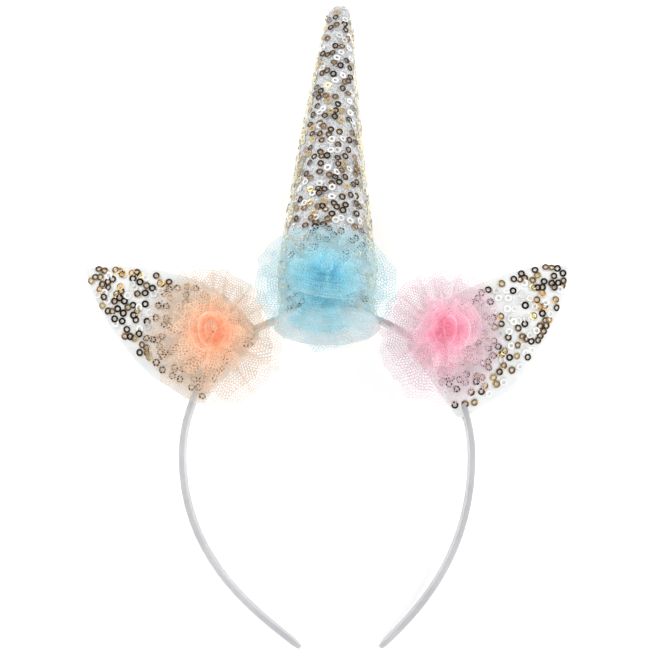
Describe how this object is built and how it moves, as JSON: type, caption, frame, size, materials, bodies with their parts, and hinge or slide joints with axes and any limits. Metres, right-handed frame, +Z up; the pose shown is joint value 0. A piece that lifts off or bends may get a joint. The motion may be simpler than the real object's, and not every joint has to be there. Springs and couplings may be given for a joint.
{
  "type": "unicorn horn headband",
  "caption": "A dress-up headband with a stuffed sequined horn, padded sequined ears and gathered tulle rosettes on a satin-wrapped band.",
  "frame": {"origin": "on the table, under the middle of the headband's outline as it lies on its back", "axes": "+X to the wearer's left, seen as right from the front; +Y from the band's tips towards the horn's tip; +Z up, out of the front of the headband"},
  "size_m": [0.2046, 0.292, 0.0634],
  "materials": {
    "band_satin": "satin ribbon wrapped round a plastic band",
    "horn_sequin_fabric": "gold cup sequins on net over silver-grey sparkling cloth",
    "base_felt": "off-white felt",
    "ear_fabric": "padded off-white cloth with gold cup sequins on the front",
    "peach_tulle": "sheer peach net, gathered",
    "blue_tulle": "sheer sky-blue net, gathered",
    "pink_tulle": "sheer rose-pink net, gathered"
  },
  "bodies": {
    "root": {"band": "band_satin", "horn": "horn_sequin_fabric", "horn_base_felt": "base_felt", "left_ear": "ear_fabric", "right_ear": "ear_fabric", "peach_rosette": "peach_tulle", "blue_rosette": "blue_tulle", "pink_rosette": "pink_tulle"}
  },
  "joints": []
}
